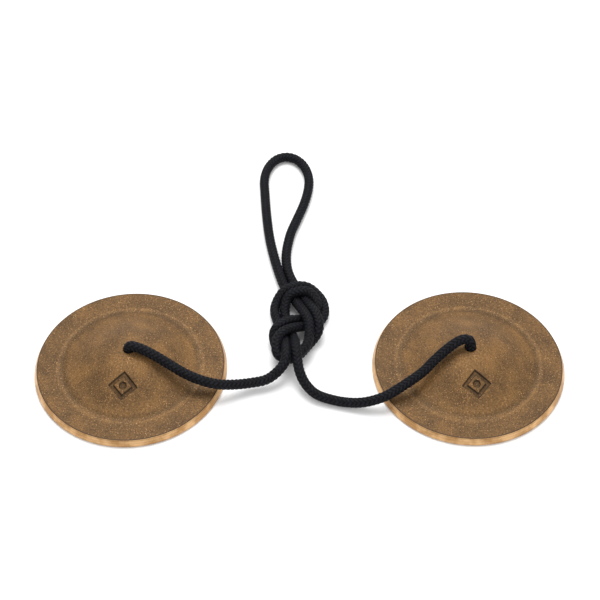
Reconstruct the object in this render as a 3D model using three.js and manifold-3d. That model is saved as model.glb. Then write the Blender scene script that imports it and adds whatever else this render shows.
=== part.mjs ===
// A pair of finger cymbals on one braided cord, laid out on a table.
//
// Two cast bronze cymbals lie rim down, their hollow sides on the table. Each end of the cord
// comes up through a cymbal's centre hole, held below by a stopper knot, and the two legs of the
// cord run together into a figure-eight knot, which leaves a hand loop at the back.
//
// Millimetres, +Z up. The origin lies on the table halfway between the two cymbals, +X points to
// the right-hand cymbal and +Y to the hand loop.
import * as THREE from "three";
import { mergeVertices } from "three/addons/utils/BufferGeometryUtils.js";
import Module from "manifold-3d";

// Driving dimensions
const CYMBAL_DIAMETER = 63.5;
const HOLE_SPACING = 111.5; // from one cymbal's centre hole to the other's
const CORD_DIAMETER = 3.2;
const GAP = 0.3; // between pieces that touch on the real object

// The cymbal
const RIM_RADIUS = CYMBAL_DIAMETER / 2;
const RIM_THICKNESS = 2.8;
const RIM_BEVEL = 0.9; // how far the top edge of the rim lies inside the rim
const BELL_RADIUS = 24; // where the bell begins to rise out of the flat flange
const BELL_HEIGHT = 8.2; // above the flange
const BELL_ROUNDING = 1.8; // over 1, so that the bell runs out softly into the flange
const HOLLOW_RADIUS = 20.5;
const HOLLOW_HEIGHT = 8.8; // above the table
const HOLLOW_ROUNDING = 1.15;
const HOLE_RADIUS = 1.9;
const HOLE_CHAMFER = 0.3;
const BELL_STEPS = 9;
const TURN_STEPS = 64;

// The mark that is stamped into the front of each bell: a lozenge outline with a dot in it
const MARK_DISTANCE = 12.5; // from the centre hole
const MARK_TURN = 6.5; // degrees, by which each cymbal's mark is turned away from the other cymbal
const MARK_WIDTH = 10;
const MARK_LENGTH = 9;
const MARK_STROKE = 1;
const MARK_DOT_RADIUS = 1.2;
const MARK_DEPTH = 0.65; // at its middle

// The cord
const CORD_RADIUS = CORD_DIAMETER / 2;
const CORD_SIDES = 8;
const STOPPER_RADIUS = 5.6;
const STOPPER_BOTTOM = 0.7;
const STOPPER_TOP = HOLLOW_HEIGHT - 0.7;
const TAIL_LENGTH = 7.2;
const TAIL_HEIGHT = 1.9; // of its centreline, low in the hollow
const TAIL_OFFSET = -2.8; // in x, from the centre hole
const TIP_LENGTH = 1.5; // the tail's heat-sealed end
const LEG_START = 11.6; // height at which a leg begins, just clear of the bell
const KNOT_HEIGHT = 2.7 * CORD_DIAMETER;
const KNOT_BEVEL = 1.2;

const BRONZE = new THREE.MeshStandardMaterial({ color: 0x8a6a45, roughness: 0.5, metalness: 0.85 });
const CORD = new THREE.MeshStandardMaterial({ color: 0x14151a, roughness: 0.85, metalness: 0 });

const wasm = await Module();
wasm.setup();

const finger_cymbals = new THREE.Group();

function add(parent, name, geometry, material) {
  const mesh = new THREE.Mesh(geometry, material);
  mesh.name = name;
  parent.add(mesh);
  return mesh;
}

// Turned about the Z axis from [radius, height] pairs.
function turned(profile, steps) {
  const points = profile.map(([r, z]) => new THREE.Vector2(r, z));
  return new THREE.LatheGeometry(points, steps).rotateX(Math.PI / 2);
}

function solidOf(geometry) {
  const bare = geometry.index ? geometry.toNonIndexed() : geometry.clone();
  bare.deleteAttribute("normal");
  bare.deleteAttribute("uv");
  const merged = mergeVertices(bare, 1e-4);
  const vertProperties = merged.attributes.position.array;
  const triVerts = new Uint32Array(merged.index.array);
  return new wasm.Manifold(new wasm.Mesh({ numProp: 3, vertProperties, triVerts }));
}

function geometryOf(solid) {
  const { vertProperties, triVerts } = solid.getMesh();
  const geometry = new THREE.BufferGeometry();
  geometry.setAttribute("position", new THREE.BufferAttribute(vertProperties, 3));
  geometry.setIndex(new THREE.BufferAttribute(triVerts, 1));
  return geometry;
}

// --- Cymbals ---

const bellHeight = (r) =>
  RIM_THICKNESS + BELL_HEIGHT * Math.max(0, 1 - (r / BELL_RADIUS) ** 2) ** BELL_ROUNDING;
const hollowHeight = (r) =>
  HOLLOW_HEIGHT * Math.max(0, 1 - (r / HOLLOW_RADIUS) ** 2) ** HOLLOW_ROUNDING;

// The section of a cymbal as one closed loop, from the hole out over the bell, round the rim and
// back under the flange and the hollow.
function cymbalSection() {
  const section = [];
  const innerBell = HOLE_RADIUS + HOLE_CHAMFER;
  for (let i = 0; i <= BELL_STEPS; i++) {
    const r = innerBell + ((BELL_RADIUS - innerBell) * i) / BELL_STEPS;
    section.push([r, bellHeight(r)]);
  }
  section.push([RIM_RADIUS - RIM_BEVEL, RIM_THICKNESS]);
  section.push([RIM_RADIUS - 0.15, RIM_THICKNESS - 1.7]);
  section.push([RIM_RADIUS, RIM_THICKNESS - 2.1]);
  section.push([RIM_RADIUS, 0.35]);
  section.push([RIM_RADIUS - 0.35, 0]);
  for (let i = 0; i < BELL_STEPS; i++) {
    const r = HOLLOW_RADIUS + ((HOLE_RADIUS - HOLLOW_RADIUS) * i) / BELL_STEPS;
    section.push([r, hollowHeight(r)]);
  }
  section.push([HOLE_RADIUS, hollowHeight(HOLE_RADIUS)]);
  section.push([HOLE_RADIUS, bellHeight(innerBell) - HOLE_CHAMFER]);
  section.push(section[0]);
  return section.reverse();
}

// The stamp's cutters, standing on the XY plane and long enough to reach out of the bell.
function markCutters() {
  const lozenge = (width, length) => {
    const shape = new THREE.Shape();
    shape.moveTo(width / 2, 0);
    shape.lineTo(0, length / 2);
    shape.lineTo(-width / 2, 0);
    shape.lineTo(0, -length / 2);
    shape.closePath();
    return shape;
  };
  const outline = lozenge(MARK_WIDTH, MARK_LENGTH);
  const side = Math.hypot(MARK_WIDTH, MARK_LENGTH);
  const innerWidth = MARK_WIDTH - (2 * MARK_STROKE * side) / MARK_LENGTH;
  const innerLength = MARK_LENGTH - (2 * MARK_STROKE * side) / MARK_WIDTH;
  outline.holes.push(lozenge(innerWidth, innerLength));
  const dot = new THREE.Shape().absarc(0, 0, MARK_DOT_RADIUS, 0, 2 * Math.PI);
  return [outline, dot].map(
    (shape) => new THREE.ExtrudeGeometry(shape, { depth: 3, bevelEnabled: false, curveSegments: 12 }),
  );
}

function cymbal() {
  let body = solidOf(turned(cymbalSection(), TURN_STEPS));
  // The stamp is square to the front slope of the bell.
  const step = 0.5;
  const rise = bellHeight(MARK_DISTANCE - step) - bellHeight(MARK_DISTANCE + step);
  const lean = Math.atan2(rise, 2 * step);
  const place = new THREE.Matrix4()
    .makeTranslation(0, -MARK_DISTANCE, bellHeight(MARK_DISTANCE))
    .multiply(new THREE.Matrix4().makeRotationX(lean))
    .multiply(new THREE.Matrix4().makeTranslation(0, 0, -MARK_DEPTH));
  for (const cutter of markCutters()) body = body.subtract(solidOf(cutter.applyMatrix4(place)));
  return geometryOf(body);
}

// --- Cord ---

const cordSection = new THREE.Shape();
for (let i = 0; i < CORD_SIDES; i++) {
  const angle = (2 * Math.PI * i) / CORD_SIDES;
  const corner = [CORD_RADIUS * Math.cos(angle), CORD_RADIUS * Math.sin(angle)];
  if (i === 0) cordSection.moveTo(...corner);
  else cordSection.lineTo(...corner);
}

function cordAlong(route, steps) {
  const extrudePath = new THREE.CatmullRomCurve3(route.map((p) => new THREE.Vector3(...p)));
  return new THREE.ExtrudeGeometry(cordSection, { steps, extrudePath, bevelEnabled: false });
}

// From the left cymbal's hole over its bell and rim, down to the table and up onto the knot.
const LEFT_LEG = [
  [-HOLE_SPACING / 2, 0, LEG_START],
  [-55.9, -0.1, 12.4],
  [-55.0, -0.4, 13.1],
  [-53.2, -1.0, 13.1],
  [-50.0, -2.1, 12.4],
  [-45.7, -4.1, 11.2],
  [-41.5, -6.3, 9.8],
  [-37.5, -8.4, 8.6],
  [-32.1, -10.3, 7.3],
  [-27.1, -11.0, 6.1],
  [-22.0, -10.1, 4.6],
  [-16.1, -8.4, 3.3],
  [-10.8, -7.2, 3.5],
  [-7.2, -4.9, 4.8],
  [-4.8, 0.2, 6.4],
];
// The same on the right, where the leg hangs further forward.
const RIGHT_LEG = [
  [HOLE_SPACING / 2, 0, LEG_START],
  [56.0, 0.3, 12.9],
  [55.0, 0.7, 14.1],
  [52.6, 0.4, 14.3],
  [49.6, -1.1, 13.4],
  [46.4, -3.1, 11.9],
  [43.2, -5.6, 10.4],
  [40.0, -8.5, 9.0],
  [33.1, -12.8, 6.8],
  [27.5, -15.5, 5.0],
  [21.3, -16.4, 3.2],
  [16.6, -15.8, 2.1],
  [11.0, -14.5, 1.8],
  [4.8, -12.2, 2.5],
  [1.4, -8.6, 4.0],
  [-0.2, -4.8, 5.5],
  [-0.8, 0.0, 6.6],
];
// Out of the back of the knot on the left, round the hand loop and back in on the right.
const HAND_LOOP = [
  [-5.2, 33.3, 1.75],
  [-6.8, 40.6, 1.75],
  [-8.6, 48.4, 1.75],
  [-10.2, 57.2, 1.75],
  [-11.3, 67.7, 1.75],
  [-12.1, 80.2, 1.75],
  [-12.3, 86.9, 1.75],
  [-10.9, 92.8, 1.75],
  [-7.9, 97.0, 1.75],
  [-4.3, 98.3, 1.75],
  [-0.7, 96.9, 1.75],
  [2.4, 92.8, 1.75],
  [3.9, 87.0, 1.75],
  [3.6, 81.1, 1.75],
  [2.1, 74.3, 1.75],
  [-0.4, 66.7, 1.75],
  [-2.6, 60.2, 1.75],
  [-3.8, 54.3, 1.75],
  [-4.1, 48.0, 1.75],
  [-3.3, 40.8, 1.75],
  [-1.7, 34.6, 1.75],
];

// The knot's outer shape: its back and front lobes, each a circle, joined by straight sides.
const BACK_LOBE = { x: -0.3, y: 24.4, radius: 9.7 };
const FRONT_LOBE = { x: -2.4, y: 9.0, radius: 8.4 };

function knotBody() {
  const away = new THREE.Vector2(BACK_LOBE.x - FRONT_LOBE.x, BACK_LOBE.y - FRONT_LOBE.y);
  const side = Math.acos((BACK_LOBE.radius - FRONT_LOBE.radius) / away.length());
  const [low, high] = [away.angle() - (Math.PI - side), away.angle() + (Math.PI - side)];
  const shape = new THREE.Shape();
  const inset = (lobe) => lobe.radius - KNOT_BEVEL;
  shape.absarc(BACK_LOBE.x, BACK_LOBE.y, inset(BACK_LOBE), low, high);
  shape.absarc(FRONT_LOBE.x, FRONT_LOBE.y, inset(FRONT_LOBE), high, low + 2 * Math.PI);
  const body = new THREE.ExtrudeGeometry(shape, {
    depth: KNOT_HEIGHT - 2 * KNOT_BEVEL,
    curveSegments: 14,
    bevelThickness: KNOT_BEVEL,
    bevelSize: KNOT_BEVEL,
    bevelSegments: 3,
  });
  return body.translate(0, 0, KNOT_BEVEL);
}

// The knot that keeps the cord's end from slipping back through the hole.
function stopperBody() {
  const middle = (STOPPER_TOP + STOPPER_BOTTOM) / 2;
  const half = (STOPPER_TOP - STOPPER_BOTTOM) / 2;
  const profile = [[0, STOPPER_BOTTOM]];
  for (let i = 1; i <= 7; i++) {
    const angle = (-0.5 + i / 8) * Math.PI;
    const round = (x) => Math.sign(x) * Math.abs(x) ** 0.7;
    profile.push([STOPPER_RADIUS * round(Math.cos(angle)), middle + half * round(Math.sin(angle))]);
  }
  profile.push([0, STOPPER_TOP]);
  return turned(profile, 24);
}

// The tail leaves the stopper knot towards the back and ends in a melted tip.
function tailBody() {
  const profile = [
    [0, 0],
    [CORD_RADIUS, 0],
    [CORD_RADIUS, TAIL_LENGTH - TIP_LENGTH],
    [CORD_RADIUS * 0.8, TAIL_LENGTH - 0.3 * TIP_LENGTH],
    [CORD_RADIUS * 0.4, TAIL_LENGTH],
    [0, TAIL_LENGTH],
  ];
  const body = turned(profile, 12).rotateX(-Math.PI / 2);
  return body.translate(TAIL_OFFSET, STOPPER_RADIUS + GAP, TAIL_HEIGHT);
}

// The cord's stretch through the centre hole, between the stopper knot and the leg.
function holeCordBody() {
  const route = [
    [0, 0, STOPPER_TOP + GAP],
    [0, 0, LEG_START - 2 * GAP],
  ];
  return cordAlong(route, 1);
}

// --- The whole object ---

for (const [side, sign] of [
  ["left", -1],
  ["right", 1],
]) {
  const station = new THREE.Group();
  station.position.x = (sign * HOLE_SPACING) / 2;
  const disc = add(station, `${side}_cymbal`, cymbal(), BRONZE);
  disc.rotation.z = THREE.MathUtils.degToRad(sign * MARK_TURN);
  add(station, `${side}_hole_cord`, holeCordBody(), CORD);
  add(station, `${side}_stopper_knot`, stopperBody(), CORD);
  add(station, `${side}_cord_tail`, tailBody(), CORD);
  finger_cymbals.add(station);
}
add(finger_cymbals, "left_leg_cord", cordAlong(LEFT_LEG, 26), CORD);
add(finger_cymbals, "right_leg_cord", cordAlong(RIGHT_LEG, 28), CORD);
add(finger_cymbals, "hand_loop", cordAlong(HAND_LOOP, 36), CORD);
add(finger_cymbals, "figure_eight_knot", knotBody(), CORD);

export default finger_cymbals;
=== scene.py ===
"""A pair of finger cymbals on one braided cord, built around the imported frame.

The camera comes first, then the cord, which is one centreline cut into five meshes, then the
cymbals, the materials, and the floor and lights. Lengths are metres, and mm() turns a list that
is easier to read in millimetres into metres. The cymbals' own numbers are in millimetres.
"""

import math

import bpy
import numpy as np
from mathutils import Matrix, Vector, noise


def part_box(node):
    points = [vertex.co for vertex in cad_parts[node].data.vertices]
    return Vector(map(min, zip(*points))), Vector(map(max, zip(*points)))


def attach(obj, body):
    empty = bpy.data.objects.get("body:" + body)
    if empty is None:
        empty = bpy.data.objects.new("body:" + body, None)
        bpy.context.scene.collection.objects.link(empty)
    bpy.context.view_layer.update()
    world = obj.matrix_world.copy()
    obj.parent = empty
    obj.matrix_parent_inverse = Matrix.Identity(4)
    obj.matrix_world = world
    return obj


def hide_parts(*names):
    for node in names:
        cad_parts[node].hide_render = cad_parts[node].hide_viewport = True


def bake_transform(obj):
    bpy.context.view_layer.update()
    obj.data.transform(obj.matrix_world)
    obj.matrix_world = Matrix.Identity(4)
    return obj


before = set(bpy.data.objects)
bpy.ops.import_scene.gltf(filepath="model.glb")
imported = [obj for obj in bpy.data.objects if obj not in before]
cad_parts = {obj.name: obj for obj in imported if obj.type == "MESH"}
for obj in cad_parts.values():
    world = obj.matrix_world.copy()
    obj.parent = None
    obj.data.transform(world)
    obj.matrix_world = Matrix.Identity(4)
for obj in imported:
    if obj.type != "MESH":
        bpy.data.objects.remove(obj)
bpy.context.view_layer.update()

MM = 0.001


def mm(points):
    return np.array(points, float) * MM


def smoothstep(t):
    t = np.clip(t, 0, 1)
    return t * t * (3 - 2 * t)


# ---------------------------------------------------------------- camera

CAMERA_TARGET = Vector((0.0003, 0.03, 0))
CAMERA_DISTANCE = 0.56
CAMERA_ELEVATION = math.radians(49.3)
CAMERA_AZIMUTH = math.radians(-0.35)
CAMERA_LENS = 97.9
CAMERA_SENSOR = 36


def make_camera():
    data = bpy.data.cameras.new("camera")
    data.lens = CAMERA_LENS
    data.sensor_width = CAMERA_SENSOR
    data.clip_start = 0.01
    camera = bpy.data.objects.new("camera", data)
    ahead = math.cos(CAMERA_ELEVATION)
    side = math.sin(CAMERA_AZIMUTH)
    back = Vector((side * ahead, -math.cos(CAMERA_AZIMUTH) * ahead, math.sin(CAMERA_ELEVATION)))
    camera.location = CAMERA_TARGET + back * CAMERA_DISTANCE
    camera.rotation_euler = (math.pi / 2 - CAMERA_ELEVATION, 0, CAMERA_AZIMUTH)
    bpy.context.scene.collection.objects.link(camera)
    bpy.context.scene.camera = camera


make_camera()

# ---------------------------------------------------------------- the cord's route

CORD_DIAMETER = 3.2 * MM
CORD_RADIUS = CORD_DIAMETER / 2
PATH_STEP = 0.8 * MM  # between the points that settle
RING_STEP = 0.21 * MM  # between the rings of the mesh
CURVE_STEPS = 16  # between two of a route's points
SPACING = 3.05 * MM  # between strands that press on each other in a knot
LOWEST = 1.73 * MM  # of a centreline, with the braid resting on the table
NEIGHBOURS = 5.4 * MM  # a strand isn't pushed away from its own next stretch
SETTLE_ROUNDS = 200
STILL_ROUNDS = 60  # the last ones, in which nothing sinks
SINK = 0.006 * MM  # a free strand's fall in one round
PUSH_SHARE = 0.6  # of an overlap, taken away in one round
SMOOTHINGS = 2  # of the shift, in one round
SETTLE_MARGIN = 21  # points round a free stretch that are settled with it
LAST_SMOOTHINGS = 3
# Where the cord is free to settle round the figure-eight knot, and how softly that begins.
KNOT_REACH = 14 * MM
KNOT_FRONT = -1 * MM
KNOT_FRONT_FADE = 4 * MM
KNOT_BACK = 39 * MM
KNOT_BACK_FADE = 6 * MM
# The same for the stopper knots, by height.
STOPPER_TOP = 8.5 * MM
STOPPER_FADE = 2.5 * MM

# From just above each cymbal's hole to the knot: the same routes as the CAD's leg cords.
LEFT_LEG = mm([
    (-55.75, 0.0, 11.6),
    (-55.9, -0.1, 12.4),
    (-55.0, -0.4, 13.1),
    (-53.2, -1.0, 13.1),
    (-50.0, -2.1, 12.4),
    (-45.7, -4.1, 11.2),
    (-41.5, -6.3, 9.8),
    (-37.5, -8.4, 8.6),
    (-32.1, -10.3, 7.3),
    (-27.1, -11.0, 6.1),
    (-22.0, -10.1, 4.6),
    (-16.1, -8.4, 3.3),
    (-10.8, -7.2, 3.5),
    (-7.2, -4.9, 4.8),
    (-4.8, 0.2, 6.4),
])
RIGHT_LEG = mm([
    (55.75, 0.0, 11.6),
    (56.0, 0.3, 12.9),
    (55.0, 0.7, 14.1),
    (52.6, 0.4, 14.3),
    (49.6, -1.1, 13.4),
    (46.4, -3.1, 11.9),
    (43.2, -5.6, 10.4),
    (40.0, -8.5, 9.0),
    (33.1, -12.8, 6.8),
    (27.5, -15.5, 5.0),
    (21.3, -16.4, 3.2),
    (16.6, -15.8, 2.1),
    (11.0, -14.5, 1.8),
    (4.8, -12.2, 2.5),
    (1.4, -8.6, 4.0),
    (-0.2, -4.8, 5.5),
    (-0.8, 0.0, 6.6),
])
# From the knot, out to the left, round, and back on the right.
HAND_LOOP = mm([
    (-5.2, 33.3, 1.75),
    (-6.8, 40.6, 1.75),
    (-8.6, 48.4, 1.75),
    (-10.2, 57.2, 1.75),
    (-11.3, 67.7, 1.75),
    (-12.1, 80.2, 1.75),
    (-12.3, 86.9, 1.75),
    (-10.9, 92.8, 1.75),
    (-7.9, 97.0, 1.75),
    (-4.3, 98.3, 1.75),
    (-0.7, 96.9, 1.75),
    (2.4, 92.8, 1.75),
    (3.9, 87.0, 1.75),
    (3.6, 81.1, 1.75),
    (2.1, 74.3, 1.75),
    (-0.4, 66.7, 1.75),
    (-2.6, 60.2, 1.75),
    (-3.8, 54.3, 1.75),
    (-4.4, 48.0, 1.75),
    (-3.6, 40.8, 1.75),
    (-1.7, 34.6, 1.75),
])
# The figure-eight knot, tied in the doubled cord. The strand from each leg goes under the middle
# crossing, over the top to the right, back across the middle to the left, down round both legs,
# and up on the right and under the top arc into the hand loop.
KNOT_LEFT = mm([
    (-4.5, -1.5, 6.6),
    (-4.5, 1.9, 6.9),
    (-5.2, 10.5, 4.2),
    (-6.4, 15.8, 2.2),
    (-8.3, 23.1, 1.8),
    (-8.2, 25.6, 2.3),
    (-5.8, 29.9, 4.4),
    (-3.6, 31.2, 5.2),
    (0.8, 32.2, 5.3),
    (3.2, 31.8, 4.7),
    (6.7, 28.4, 3.0),
    (7.5, 26.2, 2.2),
    (6.9, 21.2, 1.7),
    (5.1, 19.0, 1.7),
    (0.9, 15.6, 3.0),
    (-1.2, 13.8, 4.2),
    (-5.8, 10.2, 6.0),
    (-7.1, 8.2, 5.8),
    (-7.7, 4.0, 5.0),
    (-7.0, 2.2, 4.6),
    (-3.6, 1.5, 4.2),
    (-1.5, 2.5, 4.2),
    (2.1, 6.2, 4.5),
    (3.3, 8.9, 4.9),
    (3.7, 14.4, 6.1),
    (2.9, 17.7, 6.3),
    (-0.1, 25.2, 4.3),
    (-1.9, 29.4, 2.7),
    (-5.1, 35.1, 1.7),
])
KNOT_RIGHT = mm([
    (-0.7, -1.5, 6.6),
    (-0.8, 1.8, 6.9),
    (-1.3, 8.1, 5.2),
    (-2.1, 12.3, 3.4),
    (-4.2, 20.0, 1.7),
    (-4.8, 22.5, 1.8),
    (-4.2, 26.5, 3.8),
    (-2.9, 27.9, 5.0),
    (1.0, 28.6, 5.8),
    (3.0, 28.3, 5.4),
    (5.6, 25.3, 4.4),
    (6.0, 23.2, 3.8),
    (4.7, 20.3, 1.9),
    (3.1, 19.4, 1.9),
    (-1.2, 17.6, 3.8),
    (-3.6, 16.4, 4.8),
    (-7.8, 13.4, 4.4),
    (-8.6, 11.8, 3.3),
    (-7.7, 7.6, 1.7),
    (-6.3, 4.8, 1.7),
    (-2.9, 2.1, 1.7),
    (-1.1, 2.5, 1.7),
    (1.9, 6.8, 1.7),
    (3.3, 9.0, 2.2),
    (5.8, 11.8, 4.6),
    (6.5, 13.5, 5.7),
    (5.9, 18.2, 6.4),
    (4.5, 21.7, 6.0),
    (1.3, 29.7, 3.2),
    (-0.4, 33.2, 2.0),
    (-1.8, 36.1, 1.7),
])
# The overhand knot under each bell: the cord winds round the centre hole's axis by twice the sweep,
# and swings in and out and up and down three times in a full one.
STOPPER_MIDDLE = 4.2 * MM
STOPPER_RISE = 1.8 * MM
STOPPER_MEAN_RADIUS = 3.3 * MM
STOPPER_SWING = 1.2 * MM
STOPPER_SWEEP = math.radians(295)
STOPPER_POINTS = 26
STOPPER_TAIL = mm([
    (-2.8, 13.1, 1.9),
    (-2.8, 9.8, 1.8),
    (-3.3, 6.2, 2.0),
    (-4.3, 2.9, 2.9),
])
STOPPER_RISER = mm([
    (0.3, 1.9, 5.0),
    (-0.7, 1.1, 6.3),
    (-0.4, 0.3, 7.6),
    (0.0, 0.0, 8.8),
    (0.0, 0.0, 10.0),
])
IN_HOLE = 9.8 * MM  # the height at which a leg meets its stopper knot's cord, inside the hole


def spline(points, spacing):
    """Points a set distance apart on a centripetal Catmull-Rom curve through the given ones."""
    ends = [2 * points[:1] - points[1:2], points, 2 * points[-1:] - points[-2:-1]]
    p = np.concatenate(ends)
    knots = np.concatenate([[0], np.cumsum(np.linalg.norm(np.diff(p, axis=0), axis=1) ** 0.5)])
    dense = []
    for i in range(1, len(p) - 2):
        t = np.linspace(knots[i], knots[i + 1], CURVE_STEPS, endpoint=False)[:, None]
        t0, t1, t2, t3 = knots[i - 1 : i + 3]
        a1 = ((t1 - t) * p[i - 1] + (t - t0) * p[i]) / (t1 - t0)
        a2 = ((t2 - t) * p[i] + (t - t1) * p[i + 1]) / (t2 - t1)
        a3 = ((t3 - t) * p[i + 1] + (t - t2) * p[i + 2]) / (t3 - t2)
        b1 = ((t2 - t) * a1 + (t - t0) * a2) / (t2 - t0)
        b2 = ((t3 - t) * a2 + (t - t1) * a3) / (t3 - t1)
        dense.append(((t2 - t) * b1 + (t - t1) * b2) / (t2 - t1))
    return resample(np.concatenate(dense + [p[-2:-1]]), spacing)


def lengths_along(path):
    return np.concatenate([[0], np.cumsum(np.linalg.norm(np.diff(path, axis=0), axis=1))])


def resample(path, spacing):
    along = lengths_along(path)
    count = max(2, int(round(along[-1] / spacing)) + 1)
    at = np.linspace(0, along[-1], count)
    return np.stack([np.interp(at, along, path[:, k]) for k in range(3)], axis=1)


def nearest(path, point):
    return int(np.argmin(np.linalg.norm(path - point, axis=1)))


def stopper_route(centre_x):
    """From the tail's tip through the overhand knot and up into the centre hole."""
    t = np.linspace(0, STOPPER_SWEEP, STOPPER_POINTS)
    radius = STOPPER_MEAN_RADIUS + STOPPER_SWING * np.cos(3 * t)
    turn = math.pi + 2 * t
    height = STOPPER_MIDDLE - STOPPER_RISE * np.sin(3 * t)
    winding = np.stack([radius * np.cos(turn), radius * np.sin(turn), height], axis=1)
    route = np.concatenate([STOPPER_TAIL, winding, STOPPER_RISER])
    return route + np.array([centre_x, 0, 0])


def settle(path, along, free):
    """Moves stretches of the cord that lie in each other apart, and the free ones down.

    The shift is smoothed along the cord, so that it keeps the route's own curves.
    """
    shift = np.zeros_like(path)
    apart = np.abs(along[:, None] - along[None, :]) > NEIGHBOURS
    for step in range(SETTLE_ROUNDS):
        settled = path + shift
        away = settled[:, None] - settled[None, :]
        distance = np.linalg.norm(away, axis=2) + 1e-9
        overlap = np.where(apart, np.clip(SPACING - distance, 0, None), 0)
        push = (away * (overlap / distance)[..., None]).sum(1)
        push /= np.maximum(1, (overlap > 0).sum(1))[:, None]
        shift += PUSH_SHARE * push * free[:, None]
        if step < SETTLE_ROUNDS - STILL_ROUNDS:
            shift[:, 2] -= SINK * free
        for _ in range(SMOOTHINGS):
            mean = (shift[:-2] + shift[2:]) / 2
            shift[1:-1] += 0.5 * (mean - shift[1:-1]) * free[1:-1, None]
        shift[:, 2] = np.maximum(shift[:, 2], LOWEST - path[:, 2])
    return path + shift


def hole_x(side):
    low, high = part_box(f"{side}_cymbal")
    return (low.x + high.x) / 2


def cord_route():
    """The whole cord, from the left tail to the right tail, with its knots drawn tight."""
    stretches = [
        stopper_route(hole_x("left")),
        LEFT_LEG[:-1],
        KNOT_LEFT,
        HAND_LOOP[1:-1],
        KNOT_RIGHT[::-1],
        RIGHT_LEG[:-1][::-1],
        stopper_route(hole_x("right"))[::-1],
    ]
    route = spline(np.concatenate(stretches), PATH_STEP)
    along = lengths_along(route)
    x, y, z = route.T
    in_knot = (np.abs(x) < KNOT_REACH) * smoothstep((y - KNOT_FRONT) / KNOT_FRONT_FADE)
    in_knot *= smoothstep((KNOT_BACK - y) / KNOT_BACK_FADE)
    left_top, right_top = (nearest(route, leg[0]) for leg in (LEFT_LEG, RIGHT_LEG))
    index = np.arange(len(route))
    under_bell = smoothstep((STOPPER_TOP - z) / STOPPER_FADE)
    for free in (in_knot, under_bell * (index < left_top), under_bell * (index > right_top)):
        near = np.flatnonzero(np.convolve(free, np.ones(SETTLE_MARGIN), "same") > 0)
        route[near] = settle(route[near], along[near], free[near])
    for _ in range(LAST_SMOOTHINGS):
        route[1:-1] += 0.25 * (route[:-2] - 2 * route[1:-1] + route[2:])
    return route


# ---------------------------------------------------------------- the cord's mesh

BRAID_STRANDS = 8  # that turn each way
BRAID_PITCH = 11.4 * MM  # a strand's full turn
STRAND_CROWN = 0.26 * MM
STRAND_WAVE = 0.13 * MM
RING_SIDES = 44
TIP_LENGTH = 1.5 * MM
TIP_FLAT = 0.25  # of the radius, left flat on a tip


def frames_along(path):
    """For each point the two directions across the path, carried along without twist."""
    ahead = np.gradient(path, axis=0)
    ahead /= np.linalg.norm(ahead, axis=1)[:, None]
    side = np.cross(ahead[0], (0, 0, 1.0))
    if np.linalg.norm(side) < 0.1:
        side = np.cross(ahead[0], (1.0, 0, 0))
    sides = np.empty_like(path)
    for i, direction in enumerate(ahead):
        side = side - direction * (side @ direction)
        side /= np.linalg.norm(side)
        sides[i] = side
    return sides, np.cross(ahead, sides)


def braid_surface(angle, along):
    """How far a braid's surface lies from the cord's middle, and how deep in its grooves."""
    turns = BRAID_STRANDS * along / BRAID_PITCH
    around = BRAID_STRANDS * angle / (2 * math.pi)
    heights = []
    for a, b in ((around + turns, around - turns), (around - turns, around + turns)):
        across = a - np.floor(a) - 0.5
        # Each strand goes over two of the others and under the next two.
        phase = (np.floor(a) + b) / 4 if not heights else (np.floor(a) + b) / 4 + 0.5
        wave = np.cos(2 * math.pi * phase)
        heights.append(STRAND_WAVE * wave - STRAND_CROWN * (2 * across) ** 2)
    top = np.maximum(*heights)
    depth = np.clip((STRAND_WAVE - top) / (STRAND_CROWN + STRAND_WAVE), 0, 1)
    return CORD_RADIUS + top, depth


def cord_mesh(name, rings, sides, ups, along, rounding):
    """One stretch of the cord as a closed braided tube."""
    count = len(rings)
    angle = 2 * math.pi * np.arange(RING_SIDES) / RING_SIDES
    radius, depth = braid_surface(angle[None, :], along[:, None])
    radius = radius * rounding[:, None]
    cos, sin = np.cos(angle)[None, :], np.sin(angle)[None, :]
    around = cos[..., None] * sides[:, None] + sin[..., None] * ups[:, None]
    points = (rings[:, None] + radius[..., None] * around).reshape(-1, 3)
    faces = []
    for i in range(count - 1):
        for j in range(RING_SIDES):
            k = (j + 1) % RING_SIDES
            low, high = i * RING_SIDES, (i + 1) * RING_SIDES
            faces.append((low + j, low + k, high + k, high + j))
    faces.append(tuple(range(RING_SIDES))[::-1])
    faces.append(tuple((count - 1) * RING_SIDES + j for j in range(RING_SIDES)))
    mesh = bpy.data.meshes.new(name)
    mesh.from_pydata(points.tolist(), [], faces)
    mesh.polygons.foreach_set("use_smooth", np.ones(len(faces), bool))
    groove = mesh.attributes.new("groove", "FLOAT", "POINT")
    groove.data.foreach_set("value", depth.ravel().astype(np.float32))
    place = [along[:, None] / MM, cos * CORD_RADIUS / MM, sin * CORD_RADIUS / MM]
    place = np.stack([np.broadcast_to(axis, depth.shape) for axis in place], axis=2)
    local = mesh.attributes.new("local", "FLOAT_VECTOR", "POINT")
    local.data.foreach_set("vector", place.ravel().astype(np.float32))
    piece = bpy.data.objects.new(name, mesh)
    bpy.context.scene.collection.objects.link(piece)
    return piece


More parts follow.
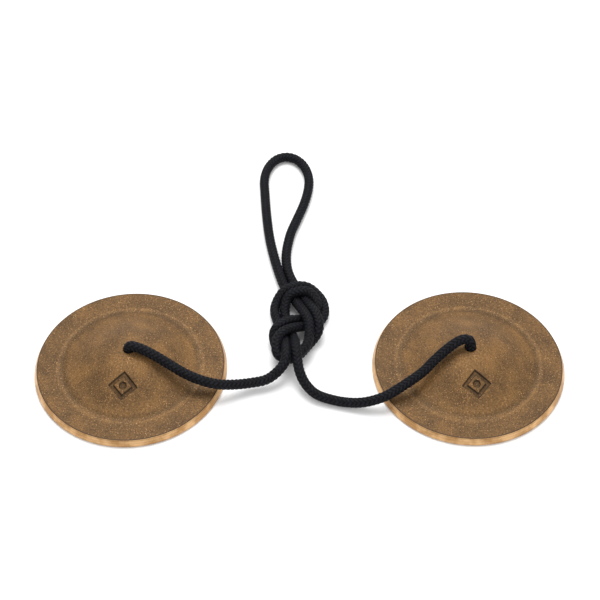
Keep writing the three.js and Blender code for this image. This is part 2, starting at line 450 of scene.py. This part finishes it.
def make_cord():
    """The cord's five stretches, cut from one line, so that the braid runs on through them all."""
    rings = spline(cord_route()[::2], RING_STEP)
    sides, ups = frames_along(rings)
    along = lengths_along(rings)
    # The heat-sealed tips round off.
    to_end = np.clip(np.minimum(along, along[-1] - along) / TIP_LENGTH, 0, 1)
    rounding = TIP_FLAT + (1 - TIP_FLAT) * np.sqrt(1 - (1 - to_end) ** 2)
    holes = [np.array([hole_x(side), 0, IN_HOLE]) for side in ("left", "right")]
    cuts = [0]
    cuts += [nearest(rings, point) for point in (holes[0], KNOT_LEFT[0], KNOT_RIGHT[0], holes[1])]
    cuts += [len(rings) - 1]
    names = ("left_stopper", "left_leg", "knot_and_loop", "right_leg", "right_stopper")
    pieces = {}
    for name, first, last in zip(names, cuts[:-1], cuts[1:]):
        part = slice(first, last + 1)
        piece = cord_mesh(name, rings[part], sides[part], ups[part], along[part], rounding[part])
        pieces[name] = (piece, rings[part])
    return pieces


cords = make_cord()

for side, sign in (("left", -1), ("right", 1)):
    stopper, _ = cords[f"{side}_stopper"]
    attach(stopper, f"{side}_cord_end")
    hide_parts(f"{side}_stopper_knot", f"{side}_cord_tail")
    leg, path = cords[f"{side}_leg"]
    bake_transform(leg)
    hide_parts(f"{side}_leg_cord", f"{side}_hole_cord")

loop, path = cords["knot_and_loop"]
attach(loop, "lanyard")
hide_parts("figure_eight_knot", "hand_loop")

# ---------------------------------------------------------------- the cymbals

RIM_RADIUS = 31.75
RIM_THICKNESS = 2.8
RIM_BEVEL = 0.9
BELL_RADIUS = 24
BELL_HEIGHT = 8.2
BELL_ROUNDING = 1.8
HOLLOW_RADIUS = 20.5
HOLLOW_HEIGHT = 8.8
HOLLOW_ROUNDING = 1.15
HOLE_RADIUS = 1.8
HOLE_CHAMFER = 0.3
GROOVE_RADIUS = 22.4  # round the foot of the bell
GROOVE_DEPTH = 0.13
GROOVE_WIDTH = 0.8
LIP_RADIUS = 24.0  # the low lip outside the groove
LIP_HEIGHT = 0.06
LIP_WIDTH = 0.5
TURN_STEPS = 480
RELIEF_SEEDS = {"left": 3.7, "right": 81.2}
HOLLOW_SEED_STEP = 40

MARK_DISTANCE = 12.5  # from the hole to the stamped mark's middle
MARK_TURN = 6.5  # degrees, left and right cymbal turned opposite ways
MARK_WIDTH = 10
MARK_LENGTH = 9
MARK_STROKE = 1.5
MARK_WALL = 0.36
MARK_DOT_RADIUS = 1.3
MARK_DEPTH = 0.6


def bell_height(r):
    bell = BELL_HEIGHT * np.clip(1 - (r / BELL_RADIUS) ** 2, 0, 1) ** BELL_ROUNDING
    groove = GROOVE_DEPTH * np.exp(-(((r - GROOVE_RADIUS) / GROOVE_WIDTH) ** 2))
    lip = LIP_HEIGHT * np.exp(-(((r - LIP_RADIUS) / LIP_WIDTH) ** 2))
    return RIM_THICKNESS + bell - groove + lip


def hollow_height(r):
    return HOLLOW_HEIGHT * np.clip(1 - (r / HOLLOW_RADIUS) ** 2, 0, 1) ** HOLLOW_ROUNDING


def mark_depth(x, y):
    """Depth of the stamped lozenge and dot at a point of a cymbal's own plan."""
    a, b = MARK_WIDTH / 2, MARK_LENGTH / 2
    v = -y - MARK_DISTANCE
    reach = a * b / math.hypot(a, b)
    inward = (1 - np.abs(x) / a - np.abs(v) / b) * reach
    line = smoothstep(inward / MARK_WALL) * smoothstep((MARK_STROKE - inward) / MARK_WALL)
    dot = smoothstep((MARK_DOT_RADIUS - np.hypot(x, v)) / MARK_WALL)
    return MARK_DEPTH * np.maximum(line, dot)


# The zones of a cymbal's section, in the order in which it runs through them, and for each zone
# the material slot: 0 as cast, 1 turned bright.
TOP, RIM, FACE, HOLLOW = range(4)
SLOT_OF_ZONE = (0, 1, 1, 0)
ROW_STEP = 0.3
FINE_ROW_STEP = 0.15  # where the mark is
FINE_FROM, FINE_TO = 7.4, 17.8
UNDER_STEP = 0.5


def cymbal_profile():
    """The section from the hole's top edge out over the bell, round the rim and back inside."""
    inner = HOLE_RADIUS + HOLE_CHAMFER
    edge = RIM_RADIUS - RIM_BEVEL
    top = np.concatenate([
        np.arange(inner, FINE_FROM, ROW_STEP),
        np.arange(FINE_FROM, FINE_TO, FINE_ROW_STEP),
        np.arange(FINE_TO, edge - 0.25, ROW_STEP),
    ])
    profile = [(r, float(bell_height(r)), TOP) for r in top]
    profile += [
        (edge - 0.12, RIM_THICKNESS, TOP),
        (edge - 0.04, RIM_THICKNESS - 0.01, TOP),
        (edge + 0.04, RIM_THICKNESS - 0.08, TOP),
        (edge + 0.3, RIM_THICKNESS - 0.65, RIM),
        (edge + 0.55, RIM_THICKNESS - 1.2, RIM),
        (edge + 0.75, RIM_THICKNESS - 1.65, RIM),
        (edge + 0.86, RIM_THICKNESS - 1.9, RIM),
        (RIM_RADIUS, RIM_THICKNESS - 2.15, RIM),
        (RIM_RADIUS, 0.42, RIM),
        (RIM_RADIUS - 0.06, 0.28, RIM),
        (RIM_RADIUS - 0.28, 0.06, RIM),
        (RIM_RADIUS - 0.42, 0.0, RIM),
    ]
    face = np.arange(edge, HOLLOW_RADIUS + 0.3, -UNDER_STEP)
    profile += [(r, 0.0, FACE) for r in face]
    hollow = np.arange(HOLLOW_RADIUS, HOLE_RADIUS + 0.3, -UNDER_STEP)
    profile += [(r, float(hollow_height(r)), HOLLOW) for r in hollow]
    hole_bottom, hole_top = float(hollow_height(HOLE_RADIUS)), float(bell_height(inner))
    profile += [
        (HOLE_RADIUS + 0.15, hole_bottom, HOLLOW),
        (HOLE_RADIUS, hole_bottom + 0.15, HOLLOW),
        (HOLE_RADIUS, hole_top - HOLE_CHAMFER, HOLLOW),
        (HOLE_RADIUS + 0.07, hole_top - 0.14, TOP),
        (HOLE_RADIUS + 0.18, hole_top - 0.04, TOP),
    ]
    return profile


def cast_relief(x, y, seed):
    """The sand mould's grain and slow unevenness at one point, in millimetres."""
    at = Vector((x, y, seed))
    grain = noise.noise(at * 1.9) * 0.03 + noise.noise(at * 0.9) * 0.028
    return grain + noise.noise(at * 0.16) * 0.07


def rise(distance, length):
    """From 0 to 1 over a length."""
    return min(1, max(0, distance / length))


def make_cymbal(side, sign):
    profile = cymbal_profile()
    radius = np.array([p[0] for p in profile])
    height = np.array([p[1] for p in profile])
    zone = [p[2] for p in profile]
    seed = RELIEF_SEEDS[side]
    angle = 2 * math.pi * np.arange(TURN_STEPS) / TURN_STEPS
    x = radius[:, None] * np.cos(angle)
    y = radius[:, None] * np.sin(angle)
    z = np.repeat(height[:, None], TURN_STEPS, axis=1)
    stamp = np.zeros_like(z)
    for i, r in enumerate(radius):
        if zone[i] == TOP:
            relief = np.array([cast_relief(a, b, seed) for a, b in zip(x[i], y[i])])
            stamp[i] = mark_depth(x[i], y[i])
            z[i] += relief * rise(RIM_RADIUS - RIM_BEVEL - r, 0.6) - stamp[i]
        elif zone[i] == HOLLOW:
            under = seed + HOLLOW_SEED_STEP
            relief = np.array([cast_relief(a, b, under) for a, b in zip(x[i], y[i])])
            z[i] += relief * rise(HOLLOW_RADIUS - r, 1.0) * rise(r - 3, 1.0)
    turn = math.radians(sign * MARK_TURN)
    world_x = x * math.cos(turn) - y * math.sin(turn)
    world_y = x * math.sin(turn) + y * math.cos(turn)
    points = np.stack([world_x * MM + hole_x(side), world_y * MM, z * MM], axis=2).reshape(-1, 3)
    faces, face_zone = [], []
    count = len(profile)
    for i in range(count):
        n = (i + 1) % count
        for j in range(TURN_STEPS):
            k = (j + 1) % TURN_STEPS
            row, following = i * TURN_STEPS, n * TURN_STEPS
            faces.append((row + j, following + j, following + k, row + k))
            face_zone.append(max(zone[i], zone[n]) if n else TOP)
    name = f"{side}_cymbal_cast"
    mesh = bpy.data.meshes.new(name)
    mesh.from_pydata(points.tolist(), [], faces)
    mesh.polygons.foreach_set("use_smooth", np.ones(len(faces), bool))
    mesh.polygons.foreach_set("material_index", [SLOT_OF_ZONE[kind] for kind in face_zone])
    local = mesh.attributes.new("local", "FLOAT_VECTOR", "POINT")
    local.data.foreach_set("vector", np.stack([x, y, z], axis=2).ravel().astype(np.float32))
    # Painted shade in the stamp: darkest on its walls, where the depth is between none and the
    # whole, and a little dark on its floor.
    share = stamp / MARK_DEPTH
    painted_stamp_shade = np.clip(5 * share * (1 - share) + 0.45 * share, 0, 1)
    stamp_shade_layer = mesh.attributes.new("stamp", "FLOAT", "POINT")
    stamp_shade_layer.data.foreach_set("value", painted_stamp_shade.ravel().astype(np.float32))
    piece = bpy.data.objects.new(name, mesh)
    bpy.context.scene.collection.objects.link(piece)
    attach(piece, f"{side}_cymbal")
    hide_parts(f"{side}_cymbal")
    return piece


cymbals = [make_cymbal("left", -1), make_cymbal("right", 1)]

# ---------------------------------------------------------------- materials


class Nodes:
    """Short calls for building one material's node tree."""

    def __init__(self, name):
        self.material = bpy.data.materials.new(name)
        self.material.use_nodes = True
        self.tree = self.material.node_tree
        self.shader = self.tree.nodes["Principled BSDF"]

    def add(self, kind, **values):
        node = self.tree.nodes.new(kind)
        for key, value in values.items():
            setattr(node, key, value)
        return node

    def link(self, output, socket):
        self.tree.links.new(output, socket)

    def attribute(self, name, output="Vector"):
        return self.add("ShaderNodeAttribute", attribute_name=name).outputs[output]

    def turned(self, vector):
        """The same place in axes that no flat face lies along, so that noise stays even on it."""
        node = self.add("ShaderNodeMapping")
        node.inputs["Rotation"].default_value = (0.6, 0.5, 0.3)
        self.link(vector, node.inputs["Vector"])
        return node.outputs[0]

    def noise(self, vector, scale, detail=2.0, roughness=0.5):
        node = self.add("ShaderNodeTexNoise")
        node.inputs["Scale"].default_value = scale
        node.inputs["Detail"].default_value = detail
        node.inputs["Roughness"].default_value = roughness
        self.link(vector, node.inputs["Vector"])
        return node.outputs["Fac"]

    def ramp(self, value, stops):
        node = self.add("ShaderNodeValToRGB")
        while len(node.color_ramp.elements) < len(stops):
            node.color_ramp.elements.new(0.5)
        for element, (place, color) in zip(node.color_ramp.elements, stops):
            element.position = place
            element.color = (*color, 1)
        self.link(value, node.inputs["Fac"])
        return node.outputs["Color"]

    def distance_from_axis(self, x, y):
        squares = self.math("ADD", self.math("MULTIPLY", x, x), self.math("MULTIPLY", y, y))
        return self.math("SQRT", squares, 0)

    def math(self, operation, a, b):
        node = self.add("ShaderNodeMath", operation=operation)
        for socket, value in zip(node.inputs, (a, b)):
            if isinstance(value, (int, float)):
                socket.default_value = value
            else:
                self.link(value, socket)
        return node.outputs[0]

    def mix(self, factor, a, b, blend="MIX"):
        node = self.add("ShaderNodeMix", data_type="RGBA", blend_type=blend)
        for socket, value in ((node.inputs[0], factor), (node.inputs[6], a), (node.inputs[7], b)):
            if isinstance(value, tuple):
                socket.default_value = (*value, 1)
            elif isinstance(value, (int, float)):
                socket.default_value = value
            else:
                self.link(value, socket)
        return node.outputs[2]

    def bump(self, height, strength, distance, normal=None):
        node = self.add("ShaderNodeBump")
        node.inputs["Strength"].default_value = strength
        node.inputs["Distance"].default_value = distance
        self.link(height, node.inputs["Height"])
        if normal is not None:
            self.link(normal, node.inputs["Normal"])
        return node.outputs["Normal"]

    def set(self, **values):
        for name, value in values.items():
            socket = self.shader.inputs[name.replace("_", " ")]
            if isinstance(value, (int, float, tuple)):
                socket.default_value = value
            else:
                self.link(value, socket)
        return self.material


EDGE_SHADE_WIDTH = 0.45


def cast_bronze():
    n = Nodes("cast_bronze")
    place = n.attribute("local")
    at = n.turned(place)
    patina = n.ramp(n.noise(at, 0.13, 3), [
        (0.35, (0.118, 0.062, 0.022)),
        (0.5, (0.155, 0.082, 0.028)),
        (0.66, (0.19, 0.098, 0.032)),
    ])
    grain = n.ramp(n.noise(at, 1.7, 3, 0.7), [
        (0.34, (0.58, 0.58, 0.6)),
        (0.5, (1, 1, 1)),
        (0.68, (1.34, 1.3, 1.24)),
    ])
    color = n.mix(1.0, patina, grain, "MULTIPLY")
    # Painted glints: bright bronze specks in the colour, which are also made less rough below.
    painted_glint = n.ramp(n.noise(at, 3.1, 1, 0.4), [(0.64, (0, 0, 0)), (0.74, (1, 1, 1))])
    color = n.mix(painted_glint, color, (0.46, 0.255, 0.105))
    split = n.add("ShaderNodeSeparateXYZ")
    n.link(place, split.inputs[0])
    radius = n.distance_from_axis(*split.outputs[:2])
    # Painted shade in the groove round the bell and a painted highlight on the lip outside it; the
    # flat rim beyond is painted darker than the bell to even out how the light falls on them.
    ring_shade_and_highlight = n.ramp(n.math("DIVIDE", radius, RIM_RADIUS), [
        (20.6 / RIM_RADIUS, (1, 1, 1)),
        (22.3 / RIM_RADIUS, (0.72, 0.74, 0.77)),
        (23.1 / RIM_RADIUS, (0.74, 0.76, 0.8)),
        (23.9 / RIM_RADIUS, (1.06, 1.09, 1.16)),
        (24.8 / RIM_RADIUS, (0.77, 0.77, 0.76)),
    ])
    color = n.mix(1.0, color, ring_shade_and_highlight, "MULTIPLY")
    # Painted shade in the stamped mark's recess.
    color = n.mix(n.attribute("stamp", "Fac"), color, (0.012, 0.007, 0.003))
    # Painted shade: a thin dark line along the top face's edge.
    edge_shade_amount = n.math("SUBTRACT", radius, RIM_RADIUS - RIM_BEVEL - EDGE_SHADE_WIDTH)
    edge_shade_amount = n.math("MULTIPLY", edge_shade_amount, 4.0)
    edge = n.add("ShaderNodeClamp")
    n.link(edge_shade_amount, edge.inputs[0])
    color = n.mix(edge.outputs[0], color, (0.07, 0.04, 0.02))
    rough = n.math("SUBTRACT", 0.6, n.math("MULTIPLY", painted_glint, 0.25))
    fine = n.bump(n.noise(at, 3.2, 4, 0.7), 0.5, 0.00012)
    return n.set(
        Base_Color=color, Metallic=0.35, Roughness=rough, Normal=fine, Specular_IOR_Level=0.3,
    )


TURNING_LINES = 3.5  # to a millimetre


def turned_bronze():
    n = Nodes("turned_bronze")
    at = n.attribute("local")
    split = n.add("ShaderNodeSeparateXYZ")
    n.link(at, split.inputs[0])
    x, y, z = split.outputs
    radius = n.distance_from_axis(x, y)
    across = n.add("ShaderNodeCombineXYZ")
    n.link(n.math("MULTIPLY", radius, TURNING_LINES), across.inputs[0])
    n.link(n.math("MULTIPLY", z, TURNING_LINES), across.inputs[1])
    lines = n.noise(across.outputs[0], 1.0, 3, 0.6)
    tone = n.ramp(lines, [(0.36, (0.46, 0.27, 0.12)), (0.62, (0.66, 0.42, 0.21))])
    cloud = n.ramp(n.noise(at, 0.16, 4, 0.6), [(0.4, (0.68, 0.6, 0.5)), (0.56, (1.08, 1.08, 1.08))])
    color = n.mix(1.0, tone, cloud, "MULTIPLY")
    marks = n.bump(lines, 0.15, 0.00005)
    return n.set(Base_Color=color, Metallic=0.9, Roughness=0.34, Normal=marks)


def black_braid():
    n = Nodes("black_braid")
    at = n.attribute("local")
    groove = n.attribute("groove", "Fac")
    # Painted shade in the braid's grooves: the deeper, the darker.
    groove_shade = n.ramp(groove, [(0.05, (0.0105, 0.011, 0.0145)), (0.55, (0.0006, 0.0006, 0.0008))])
    fade = n.ramp(n.noise(at, 0.5, 2), [(0.35, (0.75, 0.75, 0.77)), (0.7, (1.3, 1.3, 1.35))])
    color = n.mix(1.0, groove_shade, fade, "MULTIPLY")
    fibres = n.bump(n.noise(at, 5.0, 3, 0.7), 0.4, 0.00006)
    return n.set(
        Base_Color=color, Roughness=0.6, Normal=fibres, Sheen_Weight=0.015, Sheen_Roughness=0.4,
        Sheen_Tint=(0.5, 0.56, 0.75, 1), Specular_IOR_Level=0.1,
    )


cast, turned, braid = cast_bronze(), turned_bronze(), black_braid()
for piece in cymbals:
    piece.data.materials.append(cast)
    piece.data.materials.append(turned)
for piece, _ in cords.values():
    piece.data.materials.append(braid)

# ---------------------------------------------------------------- floor and light

FLOOR_SIZE = 6.0
FLOOR_DROP = 0.05 * MM  # keeps the floor off the cymbals' flat undersides
WORLD_STRENGTH = 0.85


def make_floor():
    mesh = bpy.data.meshes.new("floor")
    half = FLOOR_SIZE / 2
    corners = [(-half, -half, 0), (half, -half, 0), (half, half, 0), (-half, half, 0)]
    mesh.from_pydata(corners, [], [(0, 1, 2, 3)])
    floor = bpy.data.objects.new("floor", mesh)
    floor.location.z = -FLOOR_DROP
    bpy.context.scene.collection.objects.link(floor)
    n = Nodes("pale_floor")
    mesh.materials.append(n.set(Base_Color=(0.9, 0.9, 0.9, 1), Roughness=0.8))


def make_light(name, place, target, size, power):
    data = bpy.data.lights.new(name, "AREA")
    data.shape = "DISK"
    data.size = size
    data.energy = power
    light = bpy.data.objects.new(name, data)
    light.location = place
    light.rotation_euler = (Vector(target) - Vector(place)).to_track_quat("-Z", "Y").to_euler()
    bpy.context.scene.collection.objects.link(light)


def make_world():
    world = bpy.data.worlds.new("studio")
    world.use_nodes = True
    background = world.node_tree.nodes["Background"]
    background.inputs["Color"].default_value = (1, 1, 1, 1)
    background.inputs["Strength"].default_value = WORLD_STRENGTH
    bpy.context.scene.world = world
    bpy.context.scene.view_settings.view_transform = "Standard"


make_floor()
make_world()
make_light("key", (-0.02, 0.28, 0.58), (0, 0.02, 0), 0.45, 3.4)
make_light("fill", (0.5, -0.6, 0.6), (0, 0, 0), 0.6, 1.5)
